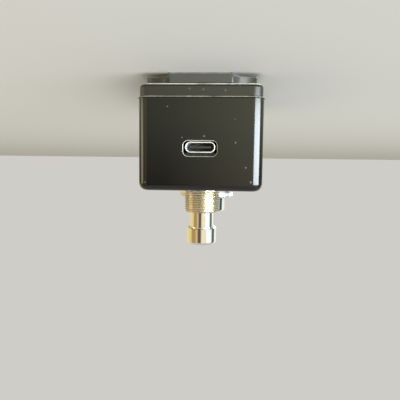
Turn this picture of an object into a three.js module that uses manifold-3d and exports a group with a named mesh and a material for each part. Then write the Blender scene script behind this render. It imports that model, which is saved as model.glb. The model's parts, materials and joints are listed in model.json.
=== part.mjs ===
// A bluetooth audio receiver in a mini effects-pedal housing. It stands on its base pad at z = 0.
// Units are millimetres. +Z is up, the length runs along Y, and the USB-C end faces -Y.
import * as THREE from "three";
import { mergeVertices } from "three/addons/utils/BufferGeometryUtils.js";
import Module from "manifold-3d";

const wasm = await Module();
wasm.setup();

// Driving dimensions of the housing.
const WIDTH = 38;
const LENGTH = 93.5;
const PAD_TOP = 3.1;
const SEAM = 7;
const FACE = 35.3;
const WALL = 2;
const CORNER = 3.5;
const FACE_EDGE = 2.2;
const COVER_STEP = 0.3;
const RIM_PROUD = 0.25;
const RIM_HEIGHT = 0.7;
const CEILING = FACE - WALL;
const FLOOR = PAD_TOP + 1.9;
const BOSS = { x: 14.5, y: 42.3, radius: 3.2, bottom: SEAM + 0.1 };

// Main board, hung under four posts of the housing.
const BOARD_BOTTOM = 23.7;
const BOARD_TOP = 25.3;
const POST = { x: 13.5, y: 34, radius: 2.4 };

// USB-C receptacle: standard shell, a little below the middle of its slot.
const USB = { width: 8.94, height: 3.26, depth: 7.35, wall: 0.3, recess: 0.3 };
const USB_SLOT = { width: 10.2, height: 4.65, radius: 1.5, z: 22.45 };
const USB_Z = BOARD_BOTTOM - 0.02 - USB.height / 2;

// Footswitch: M12 bushing, 8 mm plunger with a 10 mm cap.
const FOOT_Y = -29.5;
const FOOT_TRAVEL = 2;
const BUSHING_RADIUS = 6;
const BUSHING_TOP = 43.4;
const BUSHING_FLOOR = 34.3;
const FLANGE_BOTTOM = CEILING - 1.2;
const LOCK_WASHER = { radius: 8, bottom: CEILING - 0.5 };
const RING_NUT = { radius: 7, bore: 6.1, top: FACE + 0.9, edge: 0.25, slotDepth: 0.5 };
const SHAFT_RADIUS = 4;
const SHAFT_SHOULDER = 40.2;
const CAP = { radius: 5, bottom: 48.9, top: 54.7, edge: 1 };
const STEM_RADIUS = 2.3;
const STEM_TIP = 30.7;
const CLIP = { bottom: 31.3, top: 31.9, groove: 1.8 };
const TACT = { side: 6.2, top: 28.1, button: STEM_TIP - FOOT_TRAVEL + 0.2 };

// Level control: 9 mm potentiometer and a two-part knob.
const KNOB_Y = 14;
const POT = { width: 9.6, length: 11, top: 31.8, bushing: 3.5, bushingTop: 39.5, shaft: 3 };
const SKIRT = { base: 12.9, top: 11.9, z0: 36.4, z1: 42 };
const GRIP = { radius: 8.15, top: 48.4 };
const HUB_BOTTOM = 39.9;

const LED_Y = -10;

// Output sockets for 6.35 mm plugs, one in each long side, set apart along Y.
const JACK_Z = 17.6;
const JACKS = [
  { side: "right", y: 7, turn: Math.PI / 2 },
  { side: "left", y: -10, turn: -Math.PI / 2 },
];
const JACK = { bore: 3.25, thread: 4.7, outside: 2.9, length: 25, half: 7.4 };

// Battery on the cover's floor.
const CELL = { width: 28, length: 48, bottom: 5.9, top: 10.5, y: 2 };

const ROUND = 28;
const SMALL_ROUND = 16;

const paint = { color: 0x17171a, roughness: 0.32, metalness: 0 };
const coverFinish = { color: 0x1a1a1b, roughness: 0.5, metalness: 0 };
const rubber = { color: 0x202022, roughness: 0.45, metalness: 0 };
const nickel = { color: 0xe6e2d8, roughness: 0.12, metalness: 1 };
const steel = { color: 0xb9babc, roughness: 0.3, metalness: 1 };
const blackZinc = { color: 0x2b2b2d, roughness: 0.4, metalness: 1 };
const mouldedBlack = { color: 0x151516, roughness: 0.55, metalness: 0 };
const white = { color: 0xf1f1ee, roughness: 0.5, metalness: 0 };
const boardGreen = { color: 0x0f4a2c, roughness: 0.45, metalness: 0 };
const chipBlack = { color: 0x1b1b1d, roughness: 0.6, metalness: 0 };
const ledClear = { color: 0xcfe4ff, roughness: 0.1, metalness: 0 };
const foil = { color: 0xc9cacc, roughness: 0.35, metalness: 0.8 };
const foam = { color: 0x3a3a3c, roughness: 0.95, metalness: 0 };
const redSleeve = { color: 0xb01818, roughness: 0.5, metalness: 0 };
const blackSleeve = { color: 0x121212, roughness: 0.5, metalness: 0 };
const contactBrass = { color: 0xd8b765, roughness: 0.3, metalness: 1 };

// Joining and cutting closed geometries.
function solidOf(geometry) {
  const bare = geometry.clone();
  bare.deleteAttribute("normal");
  bare.deleteAttribute("uv");
  const merged = mergeVertices(bare, 1e-4);
  return new wasm.Manifold(
    new wasm.Mesh({
      numProp: 3,
      vertProperties: new Float32Array(merged.attributes.position.array),
      triVerts: new Uint32Array(merged.index.array),
    }),
  );
}

function geometryOf(solid) {
  const mesh = solid.getMesh();
  const geometry = new THREE.BufferGeometry();
  geometry.setAttribute("position", new THREE.BufferAttribute(mesh.vertProperties, 3));
  geometry.setIndex(new THREE.BufferAttribute(mesh.triVerts, 1));
  return geometry;
}

function join(first, ...others) {
  return geometryOf(others.reduce((sum, next) => sum.add(solidOf(next)), solidOf(first)));
}

function cut(body, ...tools) {
  return geometryOf(tools.reduce((rest, tool) => rest.subtract(solidOf(tool)), solidOf(body)));
}

// Basic closed shapes, all given by their true positions.
function box([x0, x1], [y0, y1], [z0, z1]) {
  const geometry = new THREE.BoxGeometry(x1 - x0, y1 - y0, z1 - z0);
  return geometry.translate((x0 + x1) / 2, (y0 + y1) / 2, (z0 + z1) / 2);
}

function centredBox(width, length, z0, z1, x = 0, y = 0) {
  return box([x - width / 2, x + width / 2], [y - length / 2, y + length / 2], [z0, z1]);
}

function cylinder(radius, z0, z1, x = 0, y = 0, segments = ROUND) {
  const geometry = new THREE.CylinderGeometry(radius, radius, z1 - z0, segments);
  return geometry.rotateX(Math.PI / 2).translate(x, y, (z0 + z1) / 2);
}

// Turns a profile of [radius, z] points about Z, whichever way round it is drawn.
function turned(profile, segments = ROUND) {
  const points = profile.map(([radius, z]) => new THREE.Vector2(radius, z));
  const drawn = THREE.ShapeUtils.area(points) > 0 ? points : points.reverse();
  return new THREE.LatheGeometry(drawn, segments).rotateX(Math.PI / 2);
}

function ring(inner, outer, z0, z1, segments = ROUND) {
  const profile = [[inner, z0], [outer, z0], [outer, z1], [inner, z1], [inner, z0]];
  return turned(profile, segments);
}

// Each arc of the shape gets twice curveSegments straight pieces.
function slab(shape, z0, z1, curveSegments = 3) {
  const options = { depth: z1 - z0, bevelEnabled: false, curveSegments };
  return new THREE.ExtrudeGeometry(shape, options).translate(0, 0, z0);
}

function polygon(points) {
  return new THREE.Shape(points.map(([x, y]) => new THREE.Vector2(x, y)));
}

function roundedRectangle(width, length, radius, x = 0, y = 0) {
  const shape = new THREE.Shape();
  const right = x + width / 2 - radius;
  const left = x - width / 2 + radius;
  const far = y + length / 2 - radius;
  const near = y - length / 2 + radius;
  shape.absarc(right, near, radius, -Math.PI / 2, 0);
  shape.absarc(right, far, radius, 0, Math.PI / 2);
  shape.absarc(left, far, radius, Math.PI / 2, Math.PI);
  shape.absarc(left, near, radius, Math.PI, 1.5 * Math.PI);
  shape.closePath();
  return shape;
}

// A hexagon with two corners on the X axis, wide across its flats.
function hexagon(acrossFlats) {
  const corner = acrossFlats / Math.sqrt(3);
  const points = [];
  for (let i = 0; i < 6; i++) {
    const angle = (i * Math.PI) / 3;
    points.push([corner * Math.cos(angle), corner * Math.sin(angle)]);
  }
  return polygon(points);
}

// A hexagon nut with a chamfer that rounds its top corners off.
function hexNut(acrossFlats, hole, z0, z1) {
  const corner = acrossFlats / Math.sqrt(3);
  const flat = acrossFlats / 2;
  const fall = (corner - flat) * Math.tan(Math.PI / 6);
  const chamfered = turned([
    [0, z0],
    [corner + 0.1, z0],
    [corner + 0.1, z1 - fall],
    [flat, z1],
    [0, z1],
  ]);
  const hexagonal = solidOf(slab(hexagon(acrossFlats), z0, z1));
  const nut = hexagonal.intersect(solidOf(chamfered));
  return cut(geometryOf(nut), cylinder(hole, z0 - 1, z1 + 1));
}

// A block whose outline has round corners, with one face's edge rounded too.
function roundedBlock(width, length, corner, z0, z1, edge, roundedFace) {
  const up = roundedFace === "top";
  const height = z1 - z0;
  const geometry = new THREE.ExtrudeGeometry(roundedRectangle(width, length, corner), {
    depth: height - edge + 1,
    bevelThickness: edge,
    bevelSize: edge,
    bevelOffset: -edge,
    bevelSegments: 3,
    curveSegments: 3,
  });
  const offset = up ? z0 - 1 : z0 + edge;
  const spare = up ? [z0 - edge - 2, z0] : [z1, z1 + edge + 2];
  const around = box([-width, width], [-length, length], spare);
  return cut(geometry.translate(0, 0, offset), around);
}

// A round wire or lead along a curve.
function wire(curve, radius, steps, sides = 8) {
  const section = new THREE.Shape().absarc(0, 0, radius, 0, 2 * Math.PI);
  const options = { steps, extrudePath: curve, curveSegments: sides };
  return new THREE.ExtrudeGeometry(section, options);
}

class Helix extends THREE.Curve {
  constructor(radius, z0, z1, turns) {
    super();
    this.radius = radius;
    this.z0 = z0;
    this.z1 = z1;
    this.turns = turns;
  }

  getPoint(t) {
    const angle = 2 * Math.PI * this.turns * t;
    const z = this.z0 + (this.z1 - this.z0) * t;
    return new THREE.Vector3(this.radius * Math.cos(angle), this.radius * Math.sin(angle), z);
  }
}

// Calls back with each of the four corners of a rectangle about the origin.
function corners({ x, y }) {
  return [[x, y], [-x, y], [-x, -y], [x, -y]];
}

const receiver = new THREE.Group();

function piece(name, geometry, finish, parent = receiver) {
  const mesh = new THREE.Mesh(geometry, new THREE.MeshStandardMaterial(finish));
  mesh.name = name;
  parent.add(mesh);
  return mesh;
}

function groupAt(x, y, z) {
  const group = new THREE.Group();
  group.position.set(x, y, z);
  receiver.add(group);
  return group;
}

// Die-cast housing, open below, with four screw bosses and four board posts.
function enclosureBody() {
  const shell = roundedBlock(WIDTH, LENGTH, CORNER, SEAM, FACE, FACE_EDGE, "top");
  const rimShape = roundedRectangle(
    WIDTH + 2 * RIM_PROUD,
    LENGTH + 2 * RIM_PROUD,
    CORNER + RIM_PROUD,
  );
  const rim = slab(rimShape, SEAM, SEAM + RIM_HEIGHT);
  const cavityShape = roundedRectangle(WIDTH - 2 * WALL, LENGTH - 2 * WALL, CORNER - WALL + 0.3);
  const hollow = cut(join(shell, rim), slab(cavityShape, SEAM - 1, CEILING));
  const bosses = corners(BOSS).map(([x, y]) =>
    cylinder(BOSS.radius, BOSS.bottom, CEILING + 0.5, x, y, SMALL_ROUND),
  );
  const posts = corners(POST).map(([x, y]) =>
    cylinder(POST.radius, BOARD_TOP, CEILING + 0.5, x, y, SMALL_ROUND),
  );
  const bossHoles = corners(BOSS).map(([x, y]) => cylinder(1.45, SEAM, 18, x, y, SMALL_ROUND));
  const postHoles = corners(POST).map(([x, y]) => cylinder(0.95, BOARD_TOP - 1, 31, x, y, 12));
  const usbShape = roundedRectangle(USB_SLOT.width, USB_SLOT.height, USB_SLOT.radius);
  const usbSlot = slab(usbShape, -3, 3).rotateX(Math.PI / 2);
  usbSlot.translate(0, -LENGTH / 2 + 1, USB_SLOT.z);
  const footHole = cylinder(BUSHING_RADIUS + 0.15, CEILING - 1, FACE + 1, 0, FOOT_Y);
  const potHole = cylinder(POT.bushing + 0.15, CEILING - 1, FACE + 1, 0, KNOB_Y, SMALL_ROUND);
  const ledHole = cylinder(2.35, CEILING - 1, FACE + 1, 0, LED_Y, SMALL_ROUND);
  const jackHoles = JACKS.map(({ y, turn }) => {
    const through = cylinder(JACK.thread + 0.15, WIDTH / 2 - WALL - 0.5, WIDTH / 2 + 1);
    return through.rotateY(turn).translate(0, y, JACK_Z);
  });
  return cut(
    join(hollow, ...bosses, ...posts),
    ...bossHoles,
    ...postHoles,
    usbSlot,
    footHole,
    potHole,
    ledHole,
    ...jackHoles,
  );
}

// Tray-shaped cover with a locating lip and four countersunk screw holes.
function baseCover() {
  const width = WIDTH - 2 * COVER_STEP;
  const length = LENGTH - 2 * COVER_STEP;
  const outer = roundedBlock(width, length, CORNER - COVER_STEP, PAD_TOP, SEAM, 1.3, "bottom");
  const insideWidth = WIDTH - 2 * WALL - 0.6;
  const insideLength = LENGTH - 2 * WALL - 0.6;
  const lip = slab(roundedRectangle(insideWidth, insideLength, 1.5), SEAM - 0.5, SEAM + 1.2);
  const hollow = slab(roundedRectangle(insideWidth - 2.6, insideLength - 2.6, 1), FLOOR, SEAM + 2);
  const bossRooms = corners(BOSS).map(([x, y]) =>
    cylinder(BOSS.radius + 0.5, SEAM, SEAM + 2, x, y, SMALL_ROUND),
  );
  const pillars = corners(BOSS).map(([x, y]) =>
    cylinder(BOSS.radius, FLOOR - 0.5, SEAM, x, y, SMALL_ROUND),
  );
  const holes = corners(BOSS).map(([x, y]) =>
    cylinder(1.7, PAD_TOP - 1, SEAM + 2, x, y, SMALL_ROUND),
  );
  const sinks = corners(BOSS).map(([x, y]) => {
    const profile = [[0, PAD_TOP - 0.5], [3.2, PAD_TOP - 0.5], [3.2, PAD_TOP + 0.2]];
    const cone = turned([...profile, [1.6, PAD_TOP + 1.8], [0, PAD_TOP + 1.8]], SMALL_ROUND);
    return cone.translate(x, y, 0);
  });
  const tray = cut(join(outer, lip), hollow, ...bossRooms);
  return cut(join(tray, ...pillars), ...holes, ...sinks);
}

// Rubber base pad: a narrow tongue at each end, and a round relief about each cover screw.
function basePad() {
  const tongue = 9.6;
  const end = 45.6;
  const half = 17.2;
  const relief = { x: 15.5, y: 45, radius: 5.9, steps: 9 };
  const last = -Math.acos((half - relief.x) / relief.radius);
  const quarter = [[tongue, end]];
  for (let i = 0; i <= relief.steps; i++) {
    const angle = -Math.PI + ((last + Math.PI) * i) / relief.steps;
    const x = relief.x + relief.radius * Math.cos(angle);
    quarter.push([x, relief.y + relief.radius * Math.sin(angle)]);
  }
  const outline = [];
  for (const [alongX, alongY] of [[1, 1], [1, -1], [-1, -1], [-1, 1]]) {
    const mirrored = quarter.map(([x, y]) => [x * alongX, y * alongY]);
    outline.push(...(alongX * alongY > 0 ? mirrored : mirrored.reverse()));
  }
  return slab(polygon(outline), 0, PAD_TOP);
}

// Countersunk cover screw with a cross recess.
function coverScrew() {
  const head = PAD_TOP + 0.2;
  const profile = [[0, head], [2.75, head], [2.75, head + 0.2], [1.4, head + 1.55]];
  const body = turned([...profile, [1.4, 15.4], [0.8, 16.2], [0, 16.2]], SMALL_ROUND);
  const recess = [head - 1, head + 1];
  return cut(body, box([-1.6, 1.6], [-0.35, 0.35], recess), box([-0.35, 0.35], [-1.6, 1.6], recess));
}

function housing() {
  piece("enclosure_body", enclosureBody(), paint);
  piece("base_cover", baseCover(), coverFinish);
  piece("base_pad", basePad(), rubber);
  corners(BOSS).forEach(([x, y], i) => {
    piece(`cover_screw_${i + 1}`, coverScrew(), blackZinc).position.set(x, y, 0);
  });
}

// Footswitch: bushing clamped in the face, sprung plunger and its clip.
function footswitch() {
  const group = groupAt(0, FOOT_Y, 0);
  const bore = SHAFT_RADIUS + 0.15;
  const bushing = turned([
    [STEM_RADIUS + 0.2, FLANGE_BOTTOM],
    [7.5, FLANGE_BOTTOM],
    [7.5, LOCK_WASHER.bottom],
    [BUSHING_RADIUS, LOCK_WASHER.bottom],
    [BUSHING_RADIUS, BUSHING_TOP - 0.5],
    [BUSHING_RADIUS - 0.5, BUSHING_TOP],
    [bore, BUSHING_TOP],
    [bore, BUSHING_FLOOR],
    [STEM_RADIUS + 0.2, BUSHING_FLOOR],
    [STEM_RADIUS + 0.2, FLANGE_BOTTOM],
  ]);
  piece("footswitch_bushing", bushing, nickel, group);
  const washer = ring(RING_NUT.bore, LOCK_WASHER.radius, LOCK_WASHER.bottom, CEILING);
  piece("footswitch_washer", washer, steel, group);
  const nutBody = turned([
    [RING_NUT.bore, FACE],
    [RING_NUT.radius, FACE],
    [RING_NUT.radius, RING_NUT.top - RING_NUT.edge],
    [RING_NUT.radius - RING_NUT.edge, RING_NUT.top],
    [RING_NUT.bore, RING_NUT.top],
    [RING_NUT.bore, FACE],
  ]);
  const slotStart = RING_NUT.radius - RING_NUT.slotDepth;
  const slotHeight = [FACE - 1, RING_NUT.top + 1];
  const nut = cut(
    nutBody,
    box([-0.6, 0.6], [slotStart, RING_NUT.radius + 1], slotHeight).rotateZ(Math.PI / 4),
    box([-0.6, 0.6], [-RING_NUT.radius - 1, -slotStart], slotHeight).rotateZ(Math.PI / 4),
  );
  piece("footswitch_nut", nut, nickel, group);

  const edge = [];
  for (let i = 0; i <= 3; i++) {
    const angle = (i * Math.PI) / 6;
    const radius = CAP.radius - CAP.edge + CAP.edge * Math.cos(angle);
    edge.push([radius, CAP.top - CAP.edge + CAP.edge * Math.sin(angle)]);
  }
  const plunger = turned([
    [0, STEM_TIP],
    [STEM_RADIUS - 0.4, STEM_TIP],
    [STEM_RADIUS, STEM_TIP + 0.4],
    [STEM_RADIUS, CLIP.bottom - 0.05],
    [CLIP.groove, CLIP.bottom - 0.05],
    [CLIP.groove, CLIP.top + 0.05],
    [STEM_RADIUS, CLIP.top + 0.05],
    [STEM_RADIUS, SHAFT_SHOULDER],
    [SHAFT_RADIUS, SHAFT_SHOULDER],
    [SHAFT_RADIUS, CAP.bottom],
    [CAP.radius - 0.2, CAP.bottom],
    [CAP.radius, CAP.bottom + 0.2],
    ...edge,
    [0, CAP.top],
  ]);
  piece("footswitch_plunger", plunger, nickel, group);

  const clip = cut(
    ring(CLIP.groove + 0.05, 3.9, CLIP.bottom, CLIP.top, SMALL_ROUND),
    box([-1.3, 1.3], [0, 5], [CLIP.bottom - 1, CLIP.top + 1]),
  );
  piece("footswitch_clip", clip, steel, group);

  const wireRadius = 0.3;
  const bottom = BUSHING_FLOOR + wireRadius + 0.1;
  const top = SHAFT_SHOULDER - wireRadius - 0.1;
  const coil = wire(new Helix(3.2, bottom, top, 4), wireRadius, 56, 3);
  piece("footswitch_spring", coil, steel, group);

  const room = cylinder(1.8, TACT.top - 1.9, TACT.top + 1, 0, 0, SMALL_ROUND);
  const base = cut(centredBox(TACT.side, TACT.side, BOARD_TOP, TACT.top), room);
  piece("tact_switch_base", base, mouldedBlack, group);
  const button = cylinder(1.7, TACT.top - 1.5, TACT.button, 0, 0, SMALL_ROUND);
  piece("tact_switch_button", button, white, group);
}

// Level control: potentiometer held by a nut, and its knob.
function levelControl() {
  const group = groupAt(0, KNOB_Y, 0);
  const housingShape = centredBox(POT.width, POT.length, BOARD_TOP, POT.top);
  const shaftRoom = cylinder(POT.shaft + 0.1, POT.top - 1, POT.top + 1, 0, 0, SMALL_ROUND);
  piece("level_pot_housing", cut(housingShape, shaftRoom), mouldedBlack, group);
  const bushing = ring(POT.shaft + 0.1, POT.bushing, POT.top, POT.bushingTop, SMALL_ROUND);
  piece("level_pot_bushing", bushing, nickel, group);
  const washer = ring(3.6, 6, FACE, FACE + 0.6, SMALL_ROUND);
  piece("level_pot_washer", washer, nickel, group);
  piece("level_pot_nut", hexNut(10, 3.6, FACE + 0.6, FACE + 2.6), nickel, group);

  const shaftTop = GRIP.top - 2.6;
  const round = cylinder(POT.shaft, POT.top - 0.8, shaftTop, 0, 0, SMALL_ROUND);
  const flat = box([-4, 4], [POT.shaft - 1.3, 4], [shaftTop - 5, shaftTop + 1]);
  piece("level_pot_shaft", cut(round, flat), steel, group);

  const skirt = turned([
    [10.2, SKIRT.z0],
    [SKIRT.base, SKIRT.z0],
    [SKIRT.base, SKIRT.z0 + 0.8],
    [SKIRT.base - 0.5, SKIRT.z0 + 2],
    [SKIRT.top, SKIRT.z0 + 3.6],
    [SKIRT.top, SKIRT.z1 - 0.6],
    [SKIRT.top - 0.6, SKIRT.z1],
    [6.9, SKIRT.z1],
    [6.9, HUB_BOTTOM],
    [10.2, HUB_BOTTOM],
    [10.2, SKIRT.z0],
  ]);
  piece("level_knob_skirt", skirt, steel, group);

  const boreTop = shaftTop + 0.2;
  const bore = POT.shaft + 0.05;
  const gripBody = turned([
    [bore, HUB_BOTTOM],
    [6.8, HUB_BOTTOM],
    [6.8, SKIRT.z1],
    [GRIP.radius, SKIRT.z1],
    [GRIP.radius, GRIP.top - 0.9],
    [GRIP.radius - 0.3, GRIP.top - 0.25],
    [GRIP.radius - 0.9, GRIP.top],
    [0, GRIP.top],
    [0, boreTop],
    [bore, boreTop],
    [bore, HUB_BOTTOM],
  ]);
  const pointerSlot = [GRIP.top - 0.5, GRIP.top + 1];
  const screwZ = shaftTop - 1.4;
  const screwHole = cylinder(1.5, 2, GRIP.radius + 1, 0, 0, 12).rotateX(-Math.PI / 2);
  const grip = cut(
    gripBody,
    box([-0.7, 0.7], [1.4, GRIP.radius + 1], pointerSlot),
    screwHole.translate(0, 0, screwZ),
  );
  piece("level_knob_grip", grip, nickel, group);
  const pointer = box([-0.65, 0.65], [1.5, GRIP.radius - 0.9], [GRIP.top - 0.5, GRIP.top - 0.02]);
  piece("level_knob_pointer", pointer, mouldedBlack, group);
  const setScrew = cylinder(1.4, POT.shaft - 1.2, GRIP.radius - 0.6, 0, 0, 12);
  const socket = cylinder(0.8, GRIP.radius - 2, GRIP.radius, 0, 0, 6);
  const screw = cut(setScrew, socket).rotateX(-Math.PI / 2).translate(0, 0, screwZ);
  piece("level_knob_set_screw", screw, blackZinc, group);
}

function statusLight() {
  const group = groupAt(0, LED_Y, 0);
  const bezel = turned([
    [1.6, CEILING - 0.4],
    [2.25, CEILING - 0.4],
    [2.25, FACE],
    [3.1, FACE],
    [3.1, FACE + 0.5],
    [2.6, FACE + 0.9],
    [1.6, FACE + 0.9],
    [1.6, CEILING - 0.4],
  ], SMALL_ROUND);
  piece("status_led_bezel", bezel, nickel, group);
  const dome = [];
  for (let i = 0; i <= 3; i++) {
    const angle = (i * Math.PI) / 6;
    dome.push([1.5 * Math.cos(angle), FACE - 0.3 + 1.5 * Math.sin(angle)]);
  }
  const bottom = CEILING - 2.6;
  const lens = turned([[0, bottom], [1.9, bottom], [1.9, bottom + 1], [1.5, bottom + 1], ...dome], 12);
  const legs = [-0.65, 0.65].map((x) => centredBox(0.5, 0.5, BOARD_TOP, bottom + 0.3, x));
  piece("status_led", join(lens, ...legs), ledClear, group);
}

// USB-C receptacle on the underside of the board, its mouth in the end wall.
function usbSocket() {
  const group = groupAt(0, -LENGTH / 2 + USB.recess, USB_Z);
  const radius = USB.height / 2 - 0.2;
  const outer = slab(roundedRectangle(USB.width, USB.height, radius), 0, USB.depth);
  const innerShape = roundedRectangle(
    USB.width - 2 * USB.wall,
    USB.height - 2 * USB.wall,
    radius - USB.wall,
  );
  const shell = cut(outer, slab(innerShape, -1, USB.depth - USB.wall));
  piece("usb_c_shell", shell.rotateX(-Math.PI / 2), steel, group);
  const blade = centredBox(6.7, 0.7, 0.9, USB.depth - 2);
  const block = slab(roundedRectangle(8, 2.4, 0.9), USB.depth - 2.2, USB.depth - USB.wall - 0.1);
  const tongue = join(blade, block).rotateX(-Math.PI / 2);
  piece("usb_c_tongue", tongue, mouldedBlack, group);
}

// One output socket. Its own +Z points out through the side wall, whose outside is at WIDTH / 2.
function outputJack({ side, y, turn }) {
  const group = groupAt(0, y, JACK_Z);
  group.rotation.y = turn;
  const wallInside = WIDTH / 2 - WALL;
  const back = wallInside - 0.3 - JACK.length;
  const front = wallInside - 0.3;
  const upright = turn > 0 ? -1 : 1;
  const across = (from, to) => [from, to].map((v) => v * upright).sort((a, b) => a - b);
  const block = box([-5.9, 5.9], [-JACK.half, JACK.half], [back, front]);
  const bore = cylinder(JACK.bore + 0.05, back + 3, front + 1, 0, 0, SMALL_ROUND);
  const slot = box(across(1, 7), [-1.4, 1.4], [back + 4, front - 6]);
  piece(`jack_${side}_housing`, cut(block, bore, slot), mouldedBlack, group);

  const end = WIDTH / 2 + JACK.outside;
  const bushing = turned([
    [JACK.bore, front + 0.05],
    [JACK.thread, front + 0.05],
    [JACK.thread, end - 0.4],
    [JACK.thread - 0.4, end],
    [JACK.bore + 0.3, end],
    [JACK.bore, end - 0.3],
    [JACK.bore, front + 0.05],
  ], SMALL_ROUND);
  piece(`jack_${side}_bushing`, bushing, nickel, group);
  const seat = WIDTH / 2 + 0.02;
  piece(`jack_${side}_washer`, ring(JACK.thread + 0.1, 6.9, seat, seat + 0.5, SMALL_ROUND), nickel, group);
  const nut = hexNut(12, JACK.thread + 0.1, seat + 0.52, seat + 2.4);
  piece(`jack_${side}_nut`, nut, nickel, group);

  const low = JACK.bore + 0.35;
  const high = 5.9;
  const strip = [
    [low + 0.5, back + 4.4],
    [low, back + 5.6],
    [low + 0.5, back + 6.8],
    [high - 1, front - 8],
    [high + 0.1, front - 8],
    [high + 0.1, front - 7.5],
    [high - 1.3, front - 7.5],
    [low + 0.2, back + 7],
    [low - 0.35, back + 5.6],
    [low + 0.1, back + 4.4],
  ];
  const outline = polygon(strip.map(([height, along]) => [height * upright, along]));
  const contact = slab(outline, -1, 1).rotateX(Math.PI / 2);
  piece(`jack_${side}_tip_contact`, contact, contactBrass, group);
}

// Main board with a narrow end for the USB-C socket, and four screws.
function mainBoard() {
  const wide = slab(roundedRectangle(32.4, 76.8, 1), BOARD_BOTTOM, BOARD_TOP);
  const narrow = centredBox(19, 12, BOARD_BOTTOM, BOARD_TOP, 0, -38.5);
  const holes = corners(POST).map(([x, y]) =>
    cylinder(1.1, BOARD_BOTTOM - 1, BOARD_TOP + 1, x, y, 12),
  );
  piece("main_board", cut(join(wide, narrow), ...holes), boardGreen);
  corners(POST).forEach(([x, y], i) => {
    const profile = [[0, 22.4], [1.6, 22.4], [2, 22.8], [2, BOARD_BOTTOM], [0.9, BOARD_BOTTOM]];
    const screw = turned([...profile, [0.9, 29.6], [0, 30]], 12);
    piece(`board_screw_${i + 1}`, screw, steel).position.set(x, y, 0);
  });
}

// Parts soldered on the board: the radio module, chips and passive parts.
function boardParts() {
  const moduleTop = BOARD_TOP + 0.8;
  piece("bluetooth_module_board", centredBox(17, 13, BOARD_TOP, moduleTop, 0, 30), boardGreen);
  const can = slab(roundedRectangle(13, 9.5, 0.6, 0, 28.6), moduleTop, moduleTop + 1.9, 1);
  piece("bluetooth_shield_can", can, steel);
  const antenna = centredBox(8, 1.6, moduleTop, moduleTop + 1, 0, 35.2);
  piece("bluetooth_antenna", antenna, white);
  const chips = [
    ["audio_codec_chip", 7, 7, 0.95, -9, -18],
    ["output_amplifier_chip", 5, 4.4, 1.2, 9, -18],
    ["battery_charger_chip", 4, 4, 0.9, 0, -40],
  ];
  for (const [name, width, length, height, x, y] of chips) {
    const outline = roundedRectangle(width, length, 0.3, x, y);
    piece(name, slab(outline, BOARD_TOP, BOARD_TOP + height, 1), chipBlack);
  }
  const crystal = slab(roundedRectangle(3.2, 2.5, 0.4, -9, -10), BOARD_TOP, BOARD_TOP + 0.8, 2);
  piece("clock_crystal", crystal, steel);
  [-11.5, 11.5].forEach((x, i) => {
    const can5 = turned([
      [0, BOARD_TOP],
      [2.5, BOARD_TOP],
      [2.5, BOARD_TOP + 5],
      [2.2, BOARD_TOP + 5.4],
      [0, BOARD_TOP + 5.4],
    ], SMALL_ROUND);
    piece(`output_capacitor_${i + 1}`, can5, foil).position.set(x, 0, 0);
  });
}

// Pouch cell on foam tape, with its leads plugged into the underside of the board.
function battery() {
  const { width, length, bottom, top, y } = CELL;
  piece("battery_foam_tape", centredBox(24, 40, FLOOR + 0.05, bottom - 0.05, 0, y), foam);
  const cell = slab(roundedRectangle(width, length, 2, 0, y), bottom, top, 2);
  piece("battery_cell", cell, foil);
  const end = y + length / 2;
  const plugY = 33;
  const protection = centredBox(22, 3, bottom + 0.6, bottom + 2.2, 0, end + 1.6);
  piece("battery_protection_board", protection, boardGreen);
  piece("battery_header", centredBox(7.4, 5.4, 17.9, BOARD_BOTTOM - 0.02, 0, plugY), white);
  piece("battery_plug", centredBox(6.4, 4.4, 13.6, 17.85, 0, plugY), white);
  const leads = [
    ["battery_lead_positive", -1.1, redSleeve],
    ["battery_lead_negative", 1.1, blackSleeve],
  ];
  for (const [name, x, finish] of leads) {
    const route = new THREE.CatmullRomCurve3([
      new THREE.Vector3(x, end + 3.2, bottom + 1.4),
      new THREE.Vector3(x, end + 4.6, bottom + 1.5),
      new THREE.Vector3(x, plugY - 0.3, bottom + 3),
      new THREE.Vector3(x, plugY, bottom + 5.2),
      new THREE.Vector3(x, plugY, 13.5),
    ]);
    piece(name, wire(route, 0.6, 12, 3), finish);
  }
}

housing();
footswitch();
levelControl();
statusLight();
usbSocket();
JACKS.forEach(outputJack);
mainBoard();
boardParts();
battery();

export default receiver;
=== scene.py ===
"""Looks of a bluetooth audio receiver in a small pedal housing. Blender 4.5, metres, +Z up."""
import json
import math
import random

import bmesh
import bpy
from mathutils import Matrix, Vector


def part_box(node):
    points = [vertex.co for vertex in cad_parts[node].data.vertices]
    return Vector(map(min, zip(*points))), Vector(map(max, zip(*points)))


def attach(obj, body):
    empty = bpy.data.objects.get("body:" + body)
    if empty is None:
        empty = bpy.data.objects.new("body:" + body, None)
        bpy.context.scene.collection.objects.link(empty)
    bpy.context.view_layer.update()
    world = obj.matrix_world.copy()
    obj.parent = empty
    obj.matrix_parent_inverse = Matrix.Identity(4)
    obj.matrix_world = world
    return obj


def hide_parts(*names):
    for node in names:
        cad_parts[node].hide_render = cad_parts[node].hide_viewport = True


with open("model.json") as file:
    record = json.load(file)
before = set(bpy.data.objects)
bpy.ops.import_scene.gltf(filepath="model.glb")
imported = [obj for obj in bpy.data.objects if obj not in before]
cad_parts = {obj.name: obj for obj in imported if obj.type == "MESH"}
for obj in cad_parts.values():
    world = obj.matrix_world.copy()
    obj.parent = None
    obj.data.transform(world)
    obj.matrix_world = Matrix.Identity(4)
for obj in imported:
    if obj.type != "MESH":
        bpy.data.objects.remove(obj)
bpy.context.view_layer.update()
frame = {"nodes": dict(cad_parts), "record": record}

MM = 0.001
HOUSING = "housing"
BODY_LOW, BODY_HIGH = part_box("enclosure_body")
COVER_LOW, COVER_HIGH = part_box("base_cover")
PAD_LOW, PAD_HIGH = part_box("base_pad")
RIM_PROUD = 0.25 * MM  # how far the rim at the seam stands out from the walls
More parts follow.
